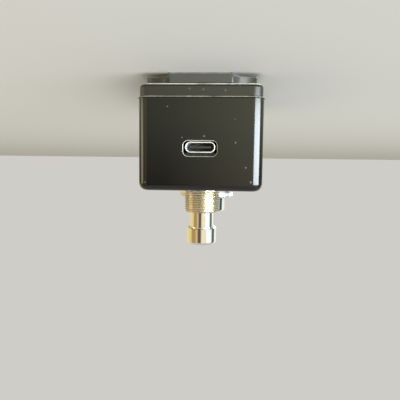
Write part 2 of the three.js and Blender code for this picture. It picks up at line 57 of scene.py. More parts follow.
END_FACE = BODY_LOW.y + RIM_PROUD
FACE = BODY_HIGH.z
SEAM = BODY_LOW.z
WALL = 2 * MM
CORNER = 3.5 * MM
USB_SLOT_Z = 22.45 * MM
USB_SLOT_EDGE = 0.25 * MM
ROUND = 96


def centre_of(node):
    low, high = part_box(node)
    return (low + high) / 2


# ---------------------------------------------------------------- camera, light and floor

CAMERA_PLACE = Vector((-6.7, -166.9, 26.2)) * MM
CAMERA_YAW = math.radians(3.1)
CAMERA_PITCH = math.radians(5.55)
CAMERA_ROLL = math.radians(180.66)
LENS = 36


def make_camera():
    """Looks along the length at the USB-C end, turned over so that the footswitch points down."""
    data = bpy.data.cameras.new("camera")
    data.lens = LENS
    data.sensor_width = 36
    data.clip_start = 0.01
    camera = bpy.data.objects.new("camera", data)
    bpy.context.collection.objects.link(camera)
    level = Matrix.Rotation(math.pi / 2, 4, "X")
    yaw = Matrix.Rotation(-CAMERA_YAW, 4, "Z")
    pitch = Matrix.Rotation(CAMERA_PITCH, 4, "X")
    roll = Matrix.Rotation(CAMERA_ROLL, 4, "Z")
    camera.matrix_world = Matrix.Translation(CAMERA_PLACE) @ yaw @ pitch @ level @ roll
    bpy.context.scene.camera = camera


def area_light(name, azimuth, distance, height, size, power, colour):
    """A soft panel facing the object. Azimuth 0 is at -Y, and it grows towards -X."""
    data = bpy.data.lights.new(name, "AREA")
    data.shape = "RECTANGLE"
    data.size, data.size_y = size
    data.energy = power
    data.color = colour
    light = bpy.data.objects.new(name, data)
    bpy.context.collection.objects.link(light)
    angle = math.radians(azimuth)
    place = Vector((-math.sin(angle), -math.cos(angle), 0)) * distance
    place.z = height
    light.location = place
    aim = Vector((0, 0, height)) - place
    light.rotation_euler = aim.to_track_quat("-Z", "Y").to_euler()
    return light


PANEL_HEIGHT = 0.0025  # centre of both low panels, so that half of each lies below the floor

# What shiny surfaces mirror, by azimuth in degrees: 0 at -Y, growing towards -X.
SURROUNDINGS = [
    (-180, (0.9, 0.8, 0.45)), (-140, (0.95, 0.82, 0.42)), (-92, (0.9, 0.75, 0.32)),
    (-80, (0.5, 0.34, 0.12)), (-52, (0.5, 0.33, 0.13)), (-42, (0.8, 0.58, 0.3)),
    (-34, (0.75, 0.55, 0.3)), (-27, (0.2, 0.14, 0.1)), (-15, (0.13, 0.1, 0.08)),
    (-8, (0.16, 0.12, 0.08)), (4, (1.05, 0.95, 0.65)), (24, (1.0, 0.93, 0.68)), (32, (0.85, 0.8, 0.66)),
    (40, (1.15, 1.2, 1.15)), (76, (1.15, 1.25, 1.25)), (84, (0.85, 0.95, 1.0)),
    (97, (0.06, 0.12, 0.13)), (114, (0.02, 0.05, 0.06)), (120, (1.1, 1.2, 1.2)),
    (180, (0.9, 0.8, 0.45)),
]
SEEN_BACKGROUND = (0.62, 0.61, 0.58)
OVERHEAD = (0.62, 0.61, 0.57)
LOW_BEHIND = (0.12, 0.12, 0.1)
UNDERFOOT = (0.16, 0.16, 0.15)
LOW_GLOW = (0.52, 0.58, 0.42)


def ramp_node(tree, stops):
    """A colour ramp from (position, colour) pairs in rising order."""
    made = tree.nodes.new("ShaderNodeValToRGB")
    elements = made.color_ramp.elements
    while len(elements) > 1:
        elements.remove(elements[-1])
    elements[0].position, elements[0].color = stops[0][0], (*stops[0][1], 1)
    for position, colour in stops[1:]:
        elements.new(position).color = (*colour, 1)
    return made


def map_node(tree, source, from_low, from_high, to_low=0.0, to_high=1.0):
    made = tree.nodes.new("ShaderNodeMapRange")
    for socket, number in (("From Min", from_low), ("From Max", from_high),
                           ("To Min", to_low), ("To Max", to_high)):
        made.inputs[socket].default_value = number
    tree.links.new(source, made.inputs["Value"])
    return made.outputs[0]


def mix_node(tree, factor, first, second, blend="MIX"):
    """Mixes two colours, each a colour or a socket, by a factor that is a number or a socket."""
    made = tree.nodes.new("ShaderNodeMix")
    made.data_type = "RGBA"
    made.blend_type = blend
    for socket, value in (("Factor", factor), ("A", first), ("B", second)):
        if isinstance(value, tuple):
            made.inputs[socket].default_value = (*value, 1)
        elif isinstance(value, (int, float)):
            made.inputs[socket].default_value = value
        else:
            tree.links.new(value, made.inputs[socket])
    return made.outputs["Result"]


def surroundings_colour(tree):
    """What reflections and soft light take in, by direction."""
    new = tree.nodes.new
    link = tree.links.new
    split = new("ShaderNodeSeparateXYZ")
    link(new("ShaderNodeTexCoord").outputs["Generated"], split.inputs[0])
    azimuth = new("ShaderNodeMath")
    azimuth.operation = "ARCTAN2"
    link(map_node(tree, split.outputs["X"], -1, 1, 1, -1), azimuth.inputs[0])
    link(map_node(tree, split.outputs["Y"], -1, 1, 1, -1), azimuth.inputs[1])
    around = ramp_node(tree, [(angle / 360 + 0.5, colour) for angle, colour in SURROUNDINGS])
    link(map_node(tree, azimuth.outputs[0], -math.pi, math.pi), around.inputs[0])
    high_or_near = new("ShaderNodeMath")
    high_or_near.operation = "MAXIMUM"
    link(map_node(tree, split.outputs["Z"], 0.04, 0.11), high_or_near.inputs[0])
    link(map_node(tree, split.outputs["Y"], 0.15, -0.05), high_or_near.inputs[1])
    level = mix_node(tree, high_or_near.outputs[0], LOW_BEHIND, around.outputs[0])
    upper = mix_node(tree, map_node(tree, split.outputs["Z"], 0.4, 0.65), level, OVERHEAD)
    glow = ramp_node(tree, [(0.0, LOW_GLOW), (0.3, LOW_GLOW), (0.8, (0, 0, 0))])
    link(map_node(tree, split.outputs["Z"], -0.2, 0.12), glow.inputs[0])
    total = mix_node(tree, 1, upper, glow.outputs[0], "ADD")
    return mix_node(tree, map_node(tree, split.outputs["Z"], -0.7, -0.3), UNDERFOOT, total)


def make_world():
    """A plain pale background, and surroundings that only reflections and soft light take in."""
    world = bpy.data.worlds.new("studio")
    bpy.context.scene.world = world
    world.use_nodes = True
    tree = world.node_tree
    tree.nodes.clear()
    new = tree.nodes.new
    link = tree.links.new
    mirrored = new("ShaderNodeBackground")
    link(surroundings_colour(tree), mirrored.inputs["Color"])
    seen = new("ShaderNodeBackground")
    seen.inputs["Color"].default_value = (*SEEN_BACKGROUND, 1)
    choose = new("ShaderNodeMixShader")
    link(new("ShaderNodeLightPath").outputs["Is Camera Ray"], choose.inputs[0])
    link(mirrored.outputs[0], choose.inputs[1])
    link(seen.outputs[0], choose.inputs[2])
    link(choose.outputs[0], new("ShaderNodeOutputWorld").inputs[0])


def make_floor():
    """A pale floor. It isn't mirrored and blocks no light, so the low panels reach below it."""
    mesh = bpy.data.meshes.new("floor")
    half = 3
    mesh.from_pydata([(-half, -half, 0), (half, -half, 0), (half, half, 0), (-half, half, 0)], [],
                     [(0, 1, 2, 3)])
    floor = bpy.data.objects.new("floor", mesh)
    bpy.context.collection.objects.link(floor)
    material = bpy.data.materials.new("floor_pale")
    material.use_nodes = True
    shader = material.node_tree.nodes["Principled BSDF"]
    shader.inputs["Base Color"].default_value = (0.56, 0.56, 0.55, 1)
    shader.inputs["Roughness"].default_value = 0.9
    mesh.materials.append(material)
    floor.visible_glossy = False
    floor.visible_shadow = False


def make_stage():
    scene = bpy.context.scene
    scene.view_settings.view_transform = "Standard"
    make_world()
    make_floor()
    area_light("window", 51, 0.6, PANEL_HEIGHT, (0.62, 0.165), 6.5, (0.86, 0.95, 1.0))
    area_light("warm_strip", -80, 0.6, PANEL_HEIGHT, (0.28, 0.165), 0.42, (1.0, 0.86, 0.62))
    top = area_light("overhead", 20, 0.45, 0.9, (0.7, 0.7), 5, (1, 1, 1))
    top.rotation_euler = (Vector((0, 0, 0)) - top.location).to_track_quat("-Z", "Y").to_euler()
    top.visible_glossy = False


# ---------------------------------------------------------------- materials

class Shader:
    """A Principled material, with short calls for the textures that drive it."""

    def __init__(self, name, colour, roughness, metallic=0.0, **sockets):
        self.material = bpy.data.materials.new(name)
        self.material.use_nodes = True
        self.tree = self.material.node_tree
        self.shader = self.tree.nodes["Principled BSDF"]
        self.set("Base Color", (*colour, 1))
        self.set("Roughness", roughness)
        self.set("Metallic", metallic)
        for socket, value in sockets.items():
            self.set(socket.replace("_", " "), value)
        self.place = self.node("ShaderNodeTexCoord").outputs["Object"]
        self.height = None

    def node(self, kind, **settings):
        made = self.tree.nodes.new(kind)
        for key, value in settings.items():
            setattr(made, key, value)
        return made

    def set(self, socket, value):
        self.shader.inputs[socket].default_value = value

    def link(self, source, target):
        self.tree.links.new(source, target)

    def stretched(self, scale, turn=(0, 0, 0)):
        mapping = self.node("ShaderNodeMapping")
        mapping.inputs["Scale"].default_value = scale
        mapping.inputs["Rotation"].default_value = turn
        self.link(self.place, mapping.inputs["Vector"])
        return mapping.outputs[0]

    def noise(self, size, detail=4, place=None, roughness=0.55):
        """Noise with features of about size metres, from 0 to 1."""
        made = self.node("ShaderNodeTexNoise")
        made.inputs["Scale"].default_value = 1 / size
        made.inputs["Detail"].default_value = detail
        made.inputs["Roughness"].default_value = roughness
        self.link(place or self.place, made.inputs["Vector"])
        return made.outputs["Fac"]

    def ramp(self, value, low, high, to_low=0.0, to_high=1.0):
        made = self.node("ShaderNodeMapRange")
        for socket, number in (("From Min", low), ("From Max", high),
                               ("To Min", to_low), ("To Max", to_high)):
            made.inputs[socket].default_value = number
        self.link(value, made.inputs["Value"])
        return made.outputs[0]

    def math(self, operation, first, second=None):
        made = self.node("ShaderNodeMath", operation=operation)
        for socket, value in zip(made.inputs, (first, second)):
            if isinstance(value, (int, float)):
                socket.default_value = value
            elif value is not None:
                self.link(value, socket)
        return made.outputs[0]

    def specks(self, size, cell, share):
        """Small dots: one in each cell of that size, kept in this share of the cells."""
        cells = self.node("ShaderNodeTexVoronoi")
        cells.inputs["Scale"].default_value = 1 / cell
        wobble = self.noise(cell * 0.3, 2)
        moved = self.node("ShaderNodeVectorMath", operation="ADD")
        self.link(self.place, moved.inputs[0])
        shift = self.node("ShaderNodeCombineXYZ")
        self.link(self.ramp(wobble, 0, 1, 0, size * 1.6), shift.inputs["X"])
        self.link(shift.outputs[0], moved.inputs[1])
        self.link(moved.outputs[0], cells.inputs["Vector"])
        dot = self.ramp(cells.outputs["Distance"], size / cell * 0.6, size / cell * 0.3)
        pick = self.node("ShaderNodeSeparateColor")
        self.link(cells.outputs["Color"], pick.inputs[0])
        kept = self.math("LESS_THAN", pick.outputs[0], share)
        return self.math("MULTIPLY", dot, kept)

    def marks(self, spots):
        """Spots from (place, radius) pairs in metres, with ragged edges."""
        ragged = self.noise(0.25 * MM, 2)
        total = None
        for place, radius in spots:
            away = self.node("ShaderNodeVectorMath", operation="DISTANCE")
            self.link(self.place, away.inputs[0])
            away.inputs[1].default_value = place
            reach = self.math("MULTIPLY_ADD", ragged, radius)
            reach.node.inputs[2].default_value = radius * 0.5
            inside = self.math("LESS_THAN", away.outputs["Value"], reach)
            total = inside if total is None else self.math("MAXIMUM", total, inside)
        return total

    def lines(self, width, length, turn, amount):
        """Fine scratches: noise drawn out along one direction, with only its peaks kept."""
        fine = self.noise(width, 1, self.stretched((1, width / length, 1), turn), 0.5)
        return self.ramp(fine, 1 - amount, 1 - amount * 0.6)

    def pale_edge_band(self, low, high, other, amount, soft=0.05 * MM):
        """Paler colour between two heights, broken up by noise. At the seam and on the cover's lower edge
        it is a painted highlight on a rounded edge.
        """
        split = self.node("ShaderNodeSeparateXYZ")
        self.link(self.place, split.inputs[0])
        over = self.ramp(split.outputs["Z"], low, low + soft)
        under = self.ramp(split.outputs["Z"], high, high - soft)
        broken = self.ramp(self.noise(2.5 * MM, 4), 0.3, 0.6, 0.3, amount)
        band = self.math("MULTIPLY", self.math("MULTIPLY", over, under), broken)
        return self.colour(band, other)

    def colour(self, factor, other):
        """Blends the colour so far with another by a factor."""
        mix = self.node("ShaderNodeMix", data_type="RGBA")
        self.link(factor, mix.inputs["Factor"])
        socket = self.shader.inputs["Base Color"]
        if socket.is_linked:
            self.link(socket.links[0].from_socket, mix.inputs["A"])
        else:
            mix.inputs["A"].default_value = socket.default_value
        mix.inputs["B"].default_value = (*other, 1)
        self.link(mix.outputs["Result"], socket)
        return self

    def rough(self, value, low, high, from_low=0.3, from_high=0.7):
        self.link(self.ramp(value, from_low, from_high, low, high), self.shader.inputs["Roughness"])
        return self

    def rough_add(self, factor, amount):
        socket = self.shader.inputs["Roughness"]
        raised = self.math("MULTIPLY_ADD", factor, amount)
        if socket.is_linked:
            self.link(socket.links[0].from_socket, raised.node.inputs[2])
        else:
            raised.node.inputs[2].default_value = socket.default_value
        self.link(raised, socket)
        return self

    def bump(self, value, depth):
        made = self.node("ShaderNodeBump")
        made.inputs["Strength"].default_value = 1
        made.inputs["Distance"].default_value = depth
        self.link(value, made.inputs["Height"])
        if self.height is not None:
            self.link(self.height, made.inputs["Normal"])
        self.height = made.outputs["Normal"]
        self.link(self.height, self.shader.inputs["Normal"])
        return self


DUST = (0.34, 0.33, 0.29)
LINT_SEED = 11


def lint_spots(low, high, y, count, seed):
    """Lint at random places over the -Y side of a box: (place, radius) pairs, the same each run."""
    draw = random.Random(seed)
    margin = 2.5 * MM
    spots = []
    for _ in range(count):
        place = Vector((draw.uniform(low.x + margin, high.x - margin), y,
                        draw.uniform(low.z + margin * 0.3, high.z - margin)))
        spots.append((place, draw.uniform(0.15, 0.34) * MM))
    return spots


def slot_lip_painted_highlight(made):
    """1 on the rounded lip of the USB-C slot, where paler paint makes a painted highlight: near the slot,
    and just behind the end face.
    """
    split = made.node("ShaderNodeSeparateXYZ")
    made.link(made.place, split.inputs[0])
    depth = made.ramp(split.outputs["Y"], END_FACE, END_FACE + 1, 0, 1)
    away = made.node("ShaderNodeVectorMath", operation="DISTANCE")
    made.link(made.place, away.inputs[0])
    away.inputs[1].default_value = (0, END_FACE, USB_SLOT_Z)
    near = made.math("LESS_THAN", away.outputs["Value"], 8 * MM)
    behind_face = made.math("MULTIPLY", near, made.ramp(depth, 0.02 * MM, 0.08 * MM))
    return made.math("MULTIPLY", behind_face, made.ramp(depth, 0.4 * MM, 0.28 * MM))


def paint_material():
    made = Shader("gloss_paint", (0.0016, 0.0016, 0.0019), 0.2, Specular_IOR_Level=0.55)
    made.rough(made.noise(9 * MM, 5), 0.13, 0.19)
    made.bump(made.noise(1.1 * MM, 2), 0.004 * MM)
    dust = made.specks(0.22 * MM, 2.4 * MM, 0.09)
    lint = made.marks(lint_spots(BODY_LOW, BODY_HIGH, END_FACE, 13, LINT_SEED))
    scratch = made.lines(0.12 * MM, 14 * MM, (0.3, 0.2, 0.9), 0.24)
    haze = made.ramp(made.noise(16 * MM, 3), 0.35, 0.75, 0, 0.015)
    made.colour(haze, (0.1, 0.095, 0.08))
    made.colour(made.math("MULTIPLY", scratch, 0.03), (0.2, 0.2, 0.19))
    # A paler band along the rim's lower rounded edge at the seam: a painted highlight.
    made.pale_edge_band(SEAM, SEAM + 0.3 * MM, (0.42, 0.4, 0.3), 1)
    # The slot's lip is painted pale: a painted highlight of light caught on its rounded edge.
    made.colour(made.math("MULTIPLY", slot_lip_painted_highlight(made), 0.9), (0.7, 0.71, 0.66))
    made.colour(made.math("MULTIPLY", dust, 0.07), DUST)
    made.colour(made.math("MULTIPLY", lint, 0.24), DUST)
    made.rough_add(dust, 0.3)
    made.rough_add(lint, 0.3)
    return made.material


def cover_material():
    made = Shader("cover_satin_black", (0.02, 0.019, 0.0155), 0.36)
    made.rough(made.noise(7 * MM, 4), 0.27, 0.35)
    made.bump(made.noise(0.35 * MM, 2), 0.006 * MM)
    dust = made.specks(0.2 * MM, 2.2 * MM, 0.12)
    lint = made.marks(lint_spots(COVER_LOW, COVER_HIGH, COVER_LOW.y, 4, LINT_SEED + 1))
    made.colour(made.ramp(made.noise(12 * MM, 3), 0.35, 0.75, 0, 0.03), (0.08, 0.076, 0.065))
    # A near-white band on the cover's lower rounded edge: a painted highlight.
    made.pale_edge_band(COVER_LOW.z + 0.02 * MM, COVER_LOW.z + 0.5 * MM, (0.8, 0.77, 0.66), 1)
    made.colour(made.math("MULTIPLY", dust, 0.08), DUST)
    made.colour(made.math("MULTIPLY", lint, 0.2), DUST)
    return made.material


def rubber_material():
    made = Shader("pad_rubber", (0.05, 0.05, 0.044), 0.36, Specular_IOR_Level=0.55)
    made.rough(made.noise(5 * MM, 5), 0.28, 0.46)
    made.bump(made.noise(0.5 * MM, 3), 0.012 * MM)
    scuff = made.lines(0.25 * MM, 6 * MM, (0.4, 0.1, 0.5), 0.3)
    made.colour(made.math("MULTIPLY", scuff, 0.12), (0.1, 0.1, 0.095))
    made.pale_edge_band(PAD_LOW.z + 0.03 * MM, PAD_LOW.z + 0.34 * MM, (0.3, 0.29, 0.26), 1)
    made.colour(made.math("MULTIPLY", made.specks(0.25 * MM, 1.6 * MM, 0.2), 0.1), DUST)
    return made.material


def metal_material(name, colour, roughness, grain, depth, streak=(1, 1, 12)):
    """Plated or turned metal: fine marks drawn out round the axis, and a little tarnish."""
    made = Shader(name, colour, roughness, 1.0)
    along = made.stretched(streak)
    made.rough(made.noise(grain, 3, along), roughness * 0.7, roughness * 1.5)
    made.bump(made.noise(grain, 3, along), depth)
    tarnish = made.ramp(made.noise(3 * MM, 5), 0.52, 0.75, 0, 0.35)
    made.colour(tarnish, tuple(c * 0.72 for c in colour))
    return made.material


def thread_material(axis, radius):
    """Nickel plate for a thread about a vertical axis, with painted shade darkening its grooves."""
    made = Shader("nickel_thread", (0.92, 0.9, 0.84), 0.3, 1.0)
    made.rough(made.noise(0.4 * MM, 3), 0.24, 0.36)
    flat = made.node("ShaderNodeVectorMath", operation="MULTIPLY_ADD")
    made.link(made.place, flat.inputs[0])
    flat.inputs[1].default_value = (1, 1, 0)
    flat.inputs[2].default_value = (-axis.x, -axis.y, 0)
    away = made.node("ShaderNodeVectorMath", operation="LENGTH")
    made.link(flat.outputs[0], away.inputs[0])
    # Darker, browner colour at the bottom of the thread's grooves: painted shade.
    groove = made.ramp(away.outputs["Value"], radius - 0.05 * MM, radius - 0.34 * MM)
    outside = made.ramp(away.outputs["Value"], radius - 0.6 * MM, radius - 0.5 * MM)
    made.colour(made.math("MULTIPLY", groove, outside), (0.66, 0.56, 0.4))
    return made.material


def plastic_material(name, colour, roughness, **sockets):
    made = Shader(name, colour, roughness, **sockets)
    made.rough(made.noise(2.5 * MM, 4), roughness * 0.8, roughness * 1.25)
    made.bump(made.noise(0.3 * MM, 2), 0.003 * MM)
    return made.material


def board_material():
    """Solder mask over copper tracks, which show as slightly paler, raised lines."""
    made = Shader("circuit_board", (0.004, 0.006, 0.005), 0.35, Specular_IOR_Level=0.6)
    bricks = made.node("ShaderNodeTexBrick")
    bricks.inputs["Scale"].default_value = 260
    bricks.inputs["Mortar Size"].default_value = 0.03
    made.link(made.place, bricks.inputs["Vector"])
    made.colour(made.math("MULTIPLY", bricks.outputs["Fac"], 0.6), (0.012, 0.018, 0.015))
    made.bump(bricks.outputs["Fac"], 0.02 * MM)
    pads = made.specks(0.5 * MM, 2.6 * MM, 0.35)
    made.colour(pads, (0.75, 0.6, 0.3))
    return made.material


def make_materials():
    return {
        "gloss_paint": paint_material(),
        "cover_satin_black": cover_material(),
        "pad_rubber": rubber_material(),
        "nickel_plate": metal_material("nickel_plate", (0.72, 0.70, 0.66), 0.16, 0.5 * MM, 0.004 * MM),
        "polished_chrome": metal_material("polished_chrome", (0.82, 0.80, 0.76), 0.07,
                                          0.7 * MM, 0.0012 * MM),
        "spring_steel": metal_material("spring_steel", (0.45, 0.45, 0.46), 0.3, 0.4 * MM, 0.004 * MM),
        "turned_aluminium": metal_material("turned_aluminium", (0.76, 0.76, 0.77), 0.24,
                                           0.25 * MM, 0.006 * MM, (1, 1, 8)),
        "black_screw": metal_material("black_screw", (0.05, 0.05, 0.052), 0.35, 0.4 * MM, 0.01 * MM),
        "socket_steel": metal_material("socket_steel", (0.95, 0.95, 0.94), 0.6, 0.3 * MM, 0.003 * MM),
        "tinned_can": metal_material("tinned_can", (0.6, 0.6, 0.61), 0.33, 1.5 * MM, 0.01 * MM),
        "cell_pouch": metal_material("cell_pouch", (0.6, 0.6, 0.62), 0.4, 3 * MM, 0.08 * MM, (1, 1, 1)),
        "contact_brass": metal_material("contact_brass", (0.78, 0.6, 0.28), 0.2, 0.4 * MM, 0.004 * MM),
        "moulded_black": plastic_material("moulded_black", (0.02, 0.02, 0.021), 0.5),
        "moulded_white": plastic_material("moulded_white", (0.78, 0.78, 0.75), 0.45),
        "led_lens": plastic_material("led_lens", (0.75, 0.85, 0.98), 0.08, Transmission_Weight=0.85,
                                     IOR=1.5),
        "foam_tape": plastic_material("foam_tape", (0.06, 0.06, 0.065), 0.95),
        "lead_red": plastic_material("lead_red", (0.42, 0.02, 0.02), 0.45),
        "lead_black": plastic_material("lead_black", (0.012, 0.012, 0.012), 0.45),
        "circuit_board": board_material(),
    }


MATERIALS = make_materials()
SLOT_OF = {entry["node"]: entry["material_slot"] for entry in frame["record"]["subparts"]}
BODY_OF = {node: body for body, nodes in frame["record"]["behaviour"]["bodies"].items()
           for node in nodes}


def finish_cad_nodes():
    for node, thing in frame["nodes"].items():
        for slot in thing.material_slots:
            slot.material = MATERIALS[SLOT_OF[node]]


# ---------------------------------------------------------------- mesh tools

def mesh_object(name, vertices, faces):
    mesh = bpy.data.meshes.new(name)
    mesh.from_pydata([tuple(v) for v in vertices], [], faces)
    made = bpy.data.objects.new(name, mesh)
    bpy.context.collection.objects.link(made)
    return made


def loft(name, rings, closed=False):
    """Joins rings of equally many points. It caps both ends, unless the last ring meets the first."""
    count = len(rings[0])
    vertices = [point for ring in rings for point in ring]
    pairs = [(i, i + 1) for i in range(len(rings) - 1)]
    if closed:
        pairs.append((len(rings) - 1, 0))
    faces = []
    for a, b in pairs:
        for i in range(count):
            j = (i + 1) % count
            faces.append((a * count + i, a * count + j, b * count + j, b * count + i))
    if not closed:
        faces.append(tuple(reversed(range(count))))
        start = (len(rings) - 1) * count
        faces.append(tuple(range(start, start + count)))
    return mesh_object(name, vertices, faces)


def circle(radius, z, centre=(0, 0), count=ROUND):
    return [Vector((centre[0] + radius * math.cos(2 * math.pi * i / count),
                    centre[1] + radius * math.sin(2 * math.pi * i / count), z))
            for i in range(count)]


def turned(name, profile, centre, closed=True, count=ROUND):
    """Turns a profile of (radius, z) in millimetres about a vertical axis."""
    rings = [circle(max(radius, 0.002) * MM, z * MM, centre, count) for radius, z in profile]
    return loft(name, rings, closed)


def rounded_rectangle(width, length, radius, z, arc=8):
    """A ring of points round a rectangle about the origin, with arc steps at each corner."""
    points = []
    for quarter, (x, y) in enumerate([(1, -1), (1, 1), (-1, 1), (-1, -1)]):
        for i in range(arc + 1):
            angle = math.pi / 2 * (quarter - 1 + i / arc)
            points.append(Vector((x * (width / 2 - radius) + radius * math.cos(angle),
                                  y * (length / 2 - radius) + radius * math.sin(angle), z)))
    return points


def rounded_edge(radius, steps=6):
    """(inset, rise) pairs of a quarter round, from the side (0, 0) to the end (radius, radius)."""
    return [(radius * (1 - math.cos(math.pi / 2 * i / steps)), radius * math.sin(math.pi / 2 * i / steps))
            for i in range(steps + 1)]


def face_outward(target):
    mesh = bmesh.new()
    mesh.from_mesh(target.data)
    bmesh.ops.recalc_face_normals(mesh, faces=mesh.faces)
    mesh.to_mesh(target.data)
    mesh.free()


def boolean(target, cutter, operation="DIFFERENCE"):
    face_outward(target)
    face_outward(cutter)
    modifier = target.modifiers.new("cut", "BOOLEAN")
    modifier.operation = operation
    modifier.object = cutter
    modifier.solver = "EXACT"
    apply_modifiers(target)
    bpy.data.objects.remove(cutter, do_unlink=True)


def apply_modifiers(target):
    shaped = target.evaluated_get(bpy.context.evaluated_depsgraph_get())
    mesh = bpy.data.meshes.new_from_object(shaped)
    target.modifiers.clear()
    target.data = mesh


def bevel(target, width, segments=3, angle=40):
    modifier = target.modifiers.new("edges", "BEVEL")
    modifier.width = width
    modifier.segments = segments
    modifier.limit_method = "ANGLE"
    modifier.angle_limit = math.radians(angle)
    modifier.harden_normals = True
    apply_modifiers(target)


def tidy_mesh(target, smooth_angle=35):
    """Merges doubled points, turns faces outward and shades smooth below the angle."""
    mesh = bmesh.new()
    mesh.from_mesh(target.data)
    bmesh.ops.remove_doubles(mesh, verts=mesh.verts, dist=1e-7)
    bmesh.ops.recalc_face_normals(mesh, faces=mesh.faces)
    mesh.to_mesh(target.data)
    mesh.free()
    for polygon in target.data.polygons:
        polygon.use_smooth = True
    target.data.set_sharp_from_angle(angle=math.radians(smooth_angle))
    modifier = target.modifiers.new("flat faces stay flat", "WEIGHTED_NORMAL")
    modifier.keep_sharp = True
    apply_modifiers(target)


def stands_for(target, *nodes, smooth_angle=35):
    """Finishes a piece that takes the place of CAD nodes: shading, material, body and slot."""
    tidy_mesh(target, smooth_angle)
    slot = SLOT_OF[nodes[0]]
    target.data.materials.clear()
    target.data.materials.append(MATERIALS[slot])
    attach(target, BODY_OF[nodes[0]])
    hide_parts(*nodes)
    return target


def added(target, body, slot, smooth_angle=35):
    """Finishes a piece that has no CAD node of its own."""
    tidy_mesh(target, smooth_angle)
    target.data.materials.clear()
    target.data.materials.append(MATERIALS[slot])
    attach(target, body)
    return target


# ---------------------------------------------------------------- housing

def flared_cutter(name, outline, depth, edge):
    """Cuts up to z = depth through a surface at z = 0, and rounds the lip of the hole there."""
    rings = [outline(0, depth)]
    for grow, rise in rounded_edge(edge):
        rings.append(outline(grow, edge - rise))
    rings.append(outline(edge, -depth))
    return loft(name, rings)


def make_housing():
    width = BODY_HIGH.x - BODY_LOW.x - 2 * RIM_PROUD
    length = BODY_HIGH.y - BODY_LOW.y - 2 * RIM_PROUD
    face_edge = 2.2 * MM
    rim_height = 0.7 * MM
    rim_edge = 0.24 * MM

    def outline(grow, z):
        return rounded_rectangle(width + 2 * grow, length + 2 * grow, CORNER + grow, z, 12)

    rings = [outline(-1.2 * MM, SEAM), outline(RIM_PROUD - rim_edge, SEAM),
             outline(RIM_PROUD, SEAM + rim_edge), outline(RIM_PROUD, SEAM + rim_height - rim_edge),
             outline(RIM_PROUD - rim_edge, SEAM + rim_height), outline(0, SEAM + rim_height + rim_edge)]
    for inset, rise in rounded_edge(face_edge, 10):
        rings.append(outline(-inset, FACE - face_edge + rise))
    body = loft("housing_shell", rings)
    cavity_shape = rounded_rectangle(width - 2 * WALL, length - 2 * WALL, 1.8 * MM, 0, 6)
    cavity = loft("cavity", [[p + Vector((0, 0, SEAM - 1 * MM)) for p in cavity_shape],
                             [p + Vector((0, 0, FACE - WALL)) for p in cavity_shape]])
    boolean(body, cavity)
    cut_sockets(body, length)
    cut_face_holes(body)
    stands_for(body, "enclosure_body", smooth_angle=30)


def cut_sockets(body, length):
    """Cuts the USB-C slot in the -Y end and a round hole in each side for an output socket."""
    slot_width, slot_height, slot_radius = 10.2 * MM, 4.65 * MM, 1.5 * MM

    def slot_outline(grow, z):
        return rounded_rectangle(slot_width + 2 * grow, slot_height + 2 * grow, slot_radius + grow, z)

    usb = flared_cutter("usb_cutter", slot_outline, 3 * MM, USB_SLOT_EDGE)
    usb.data.transform(Matrix.Translation((0, -length / 2, USB_SLOT_Z))
                       @ Matrix.Rotation(-math.pi / 2, 4, "X"))
    boolean(body, usb)
    for side in ("right", "left"):
        centre = centre_of(f"jack_{side}_bushing")
        hole = turned("jack_cutter", [(4.85, -6), (4.85, 6)], (0, 0), closed=False)
        hole.data.transform(Matrix.Translation(centre) @ Matrix.Rotation(math.pi / 2, 4, "Y"))
        boolean(body, hole)


def cut_face_holes(body):
    for node, radius in (("footswitch_bushing", 6.15), ("level_pot_bushing", 3.65),
                         ("status_led_bezel", 2.35)):
        centre = centre_of(node)
        hole = turned("face_cutter", [(radius, FACE / MM - 4), (radius, FACE / MM + 2)],
                      (centre.x, centre.y), closed=False)
        boolean(body, hole)


def make_cover():
    width = COVER_HIGH.x - COVER_LOW.x
    length = COVER_HIGH.y - COVER_LOW.y
    edge = 1.3 * MM
    bottom = COVER_LOW.z
    inner = WALL + 0.3 * MM
    top = SEAM + 1.2 * MM

    def outline(inset, z):
        corner = max(CORNER - 0.3 * MM - inset, 0.8 * MM)
        return rounded_rectangle(width - 2 * inset, length - 2 * inset, corner, z, 12)

    rings = [outline(inset, bottom + edge - rise) for inset, rise in reversed(rounded_edge(edge, 8))]
    rings += [outline(0, SEAM - 0.15 * MM), outline(0.15 * MM, SEAM - 0.02 * MM)]
    rings += [outline(inner, SEAM - 0.02 * MM), outline(inner, top), outline(inner + 1.2 * MM, top)]
    rings.append(outline(inner + 1.2 * MM, bottom + 1.9 * MM))
    cover = loft("cover_tray", rings)
    for index in range(1, 5):
        centre = centre_of(f"cover_screw_{index}")
        low = bottom / MM
        sink = turned("sink", [(3.3, low - 1), (3.3, low), (3.1, low + 0.2), (1.6, low + 1.8),
                               (1.6, low + 6)], (centre.x, centre.y), closed=False, count=48)
        boolean(cover, sink)
    stands_for(cover, "base_cover", smooth_angle=30)


def make_pad():
    """The raised pad: a narrow tongue at each end and round reliefs about the cover screws."""
    low, high = PAD_LOW, PAD_HIGH
    tongue = 9.6 * MM
    relief_x, relief_y, relief = 15.5 * MM, 45 * MM, 5.9 * MM
    last = -math.acos((high.x - relief_x) / relief)
    tip = 0.5 * MM
    quarter = [(tongue - tip * (1 - math.sin(a)), high.y - tip * (1 - math.cos(a)))
               for a in (0, math.pi / 8, math.pi / 4, 3 * math.pi / 8, math.pi / 2)]
    steps = 24
    for i in range(1, steps + 1):
        angle = -math.pi + (last + math.pi) * i / steps
        quarter.append((relief_x + relief * math.cos(angle), relief_y + relief * math.sin(angle)))
    outline = []
    for along_x, along_y in ((1, 1), (1, -1), (-1, -1), (-1, 1)):
        mirrored = [(x * along_x, y * along_y) for x, y in quarter]
        outline += mirrored if along_x * along_y > 0 else mirrored[::-1]
    rings = [[Vector((x, y, z)) for x, y in outline] for z in (low.z, high.z)]
    pad = loft("pad_sheet", rings)
    bevel(pad, 0.35 * MM, 4, 60)
    stands_for(pad, "base_pad", smooth_angle=50)


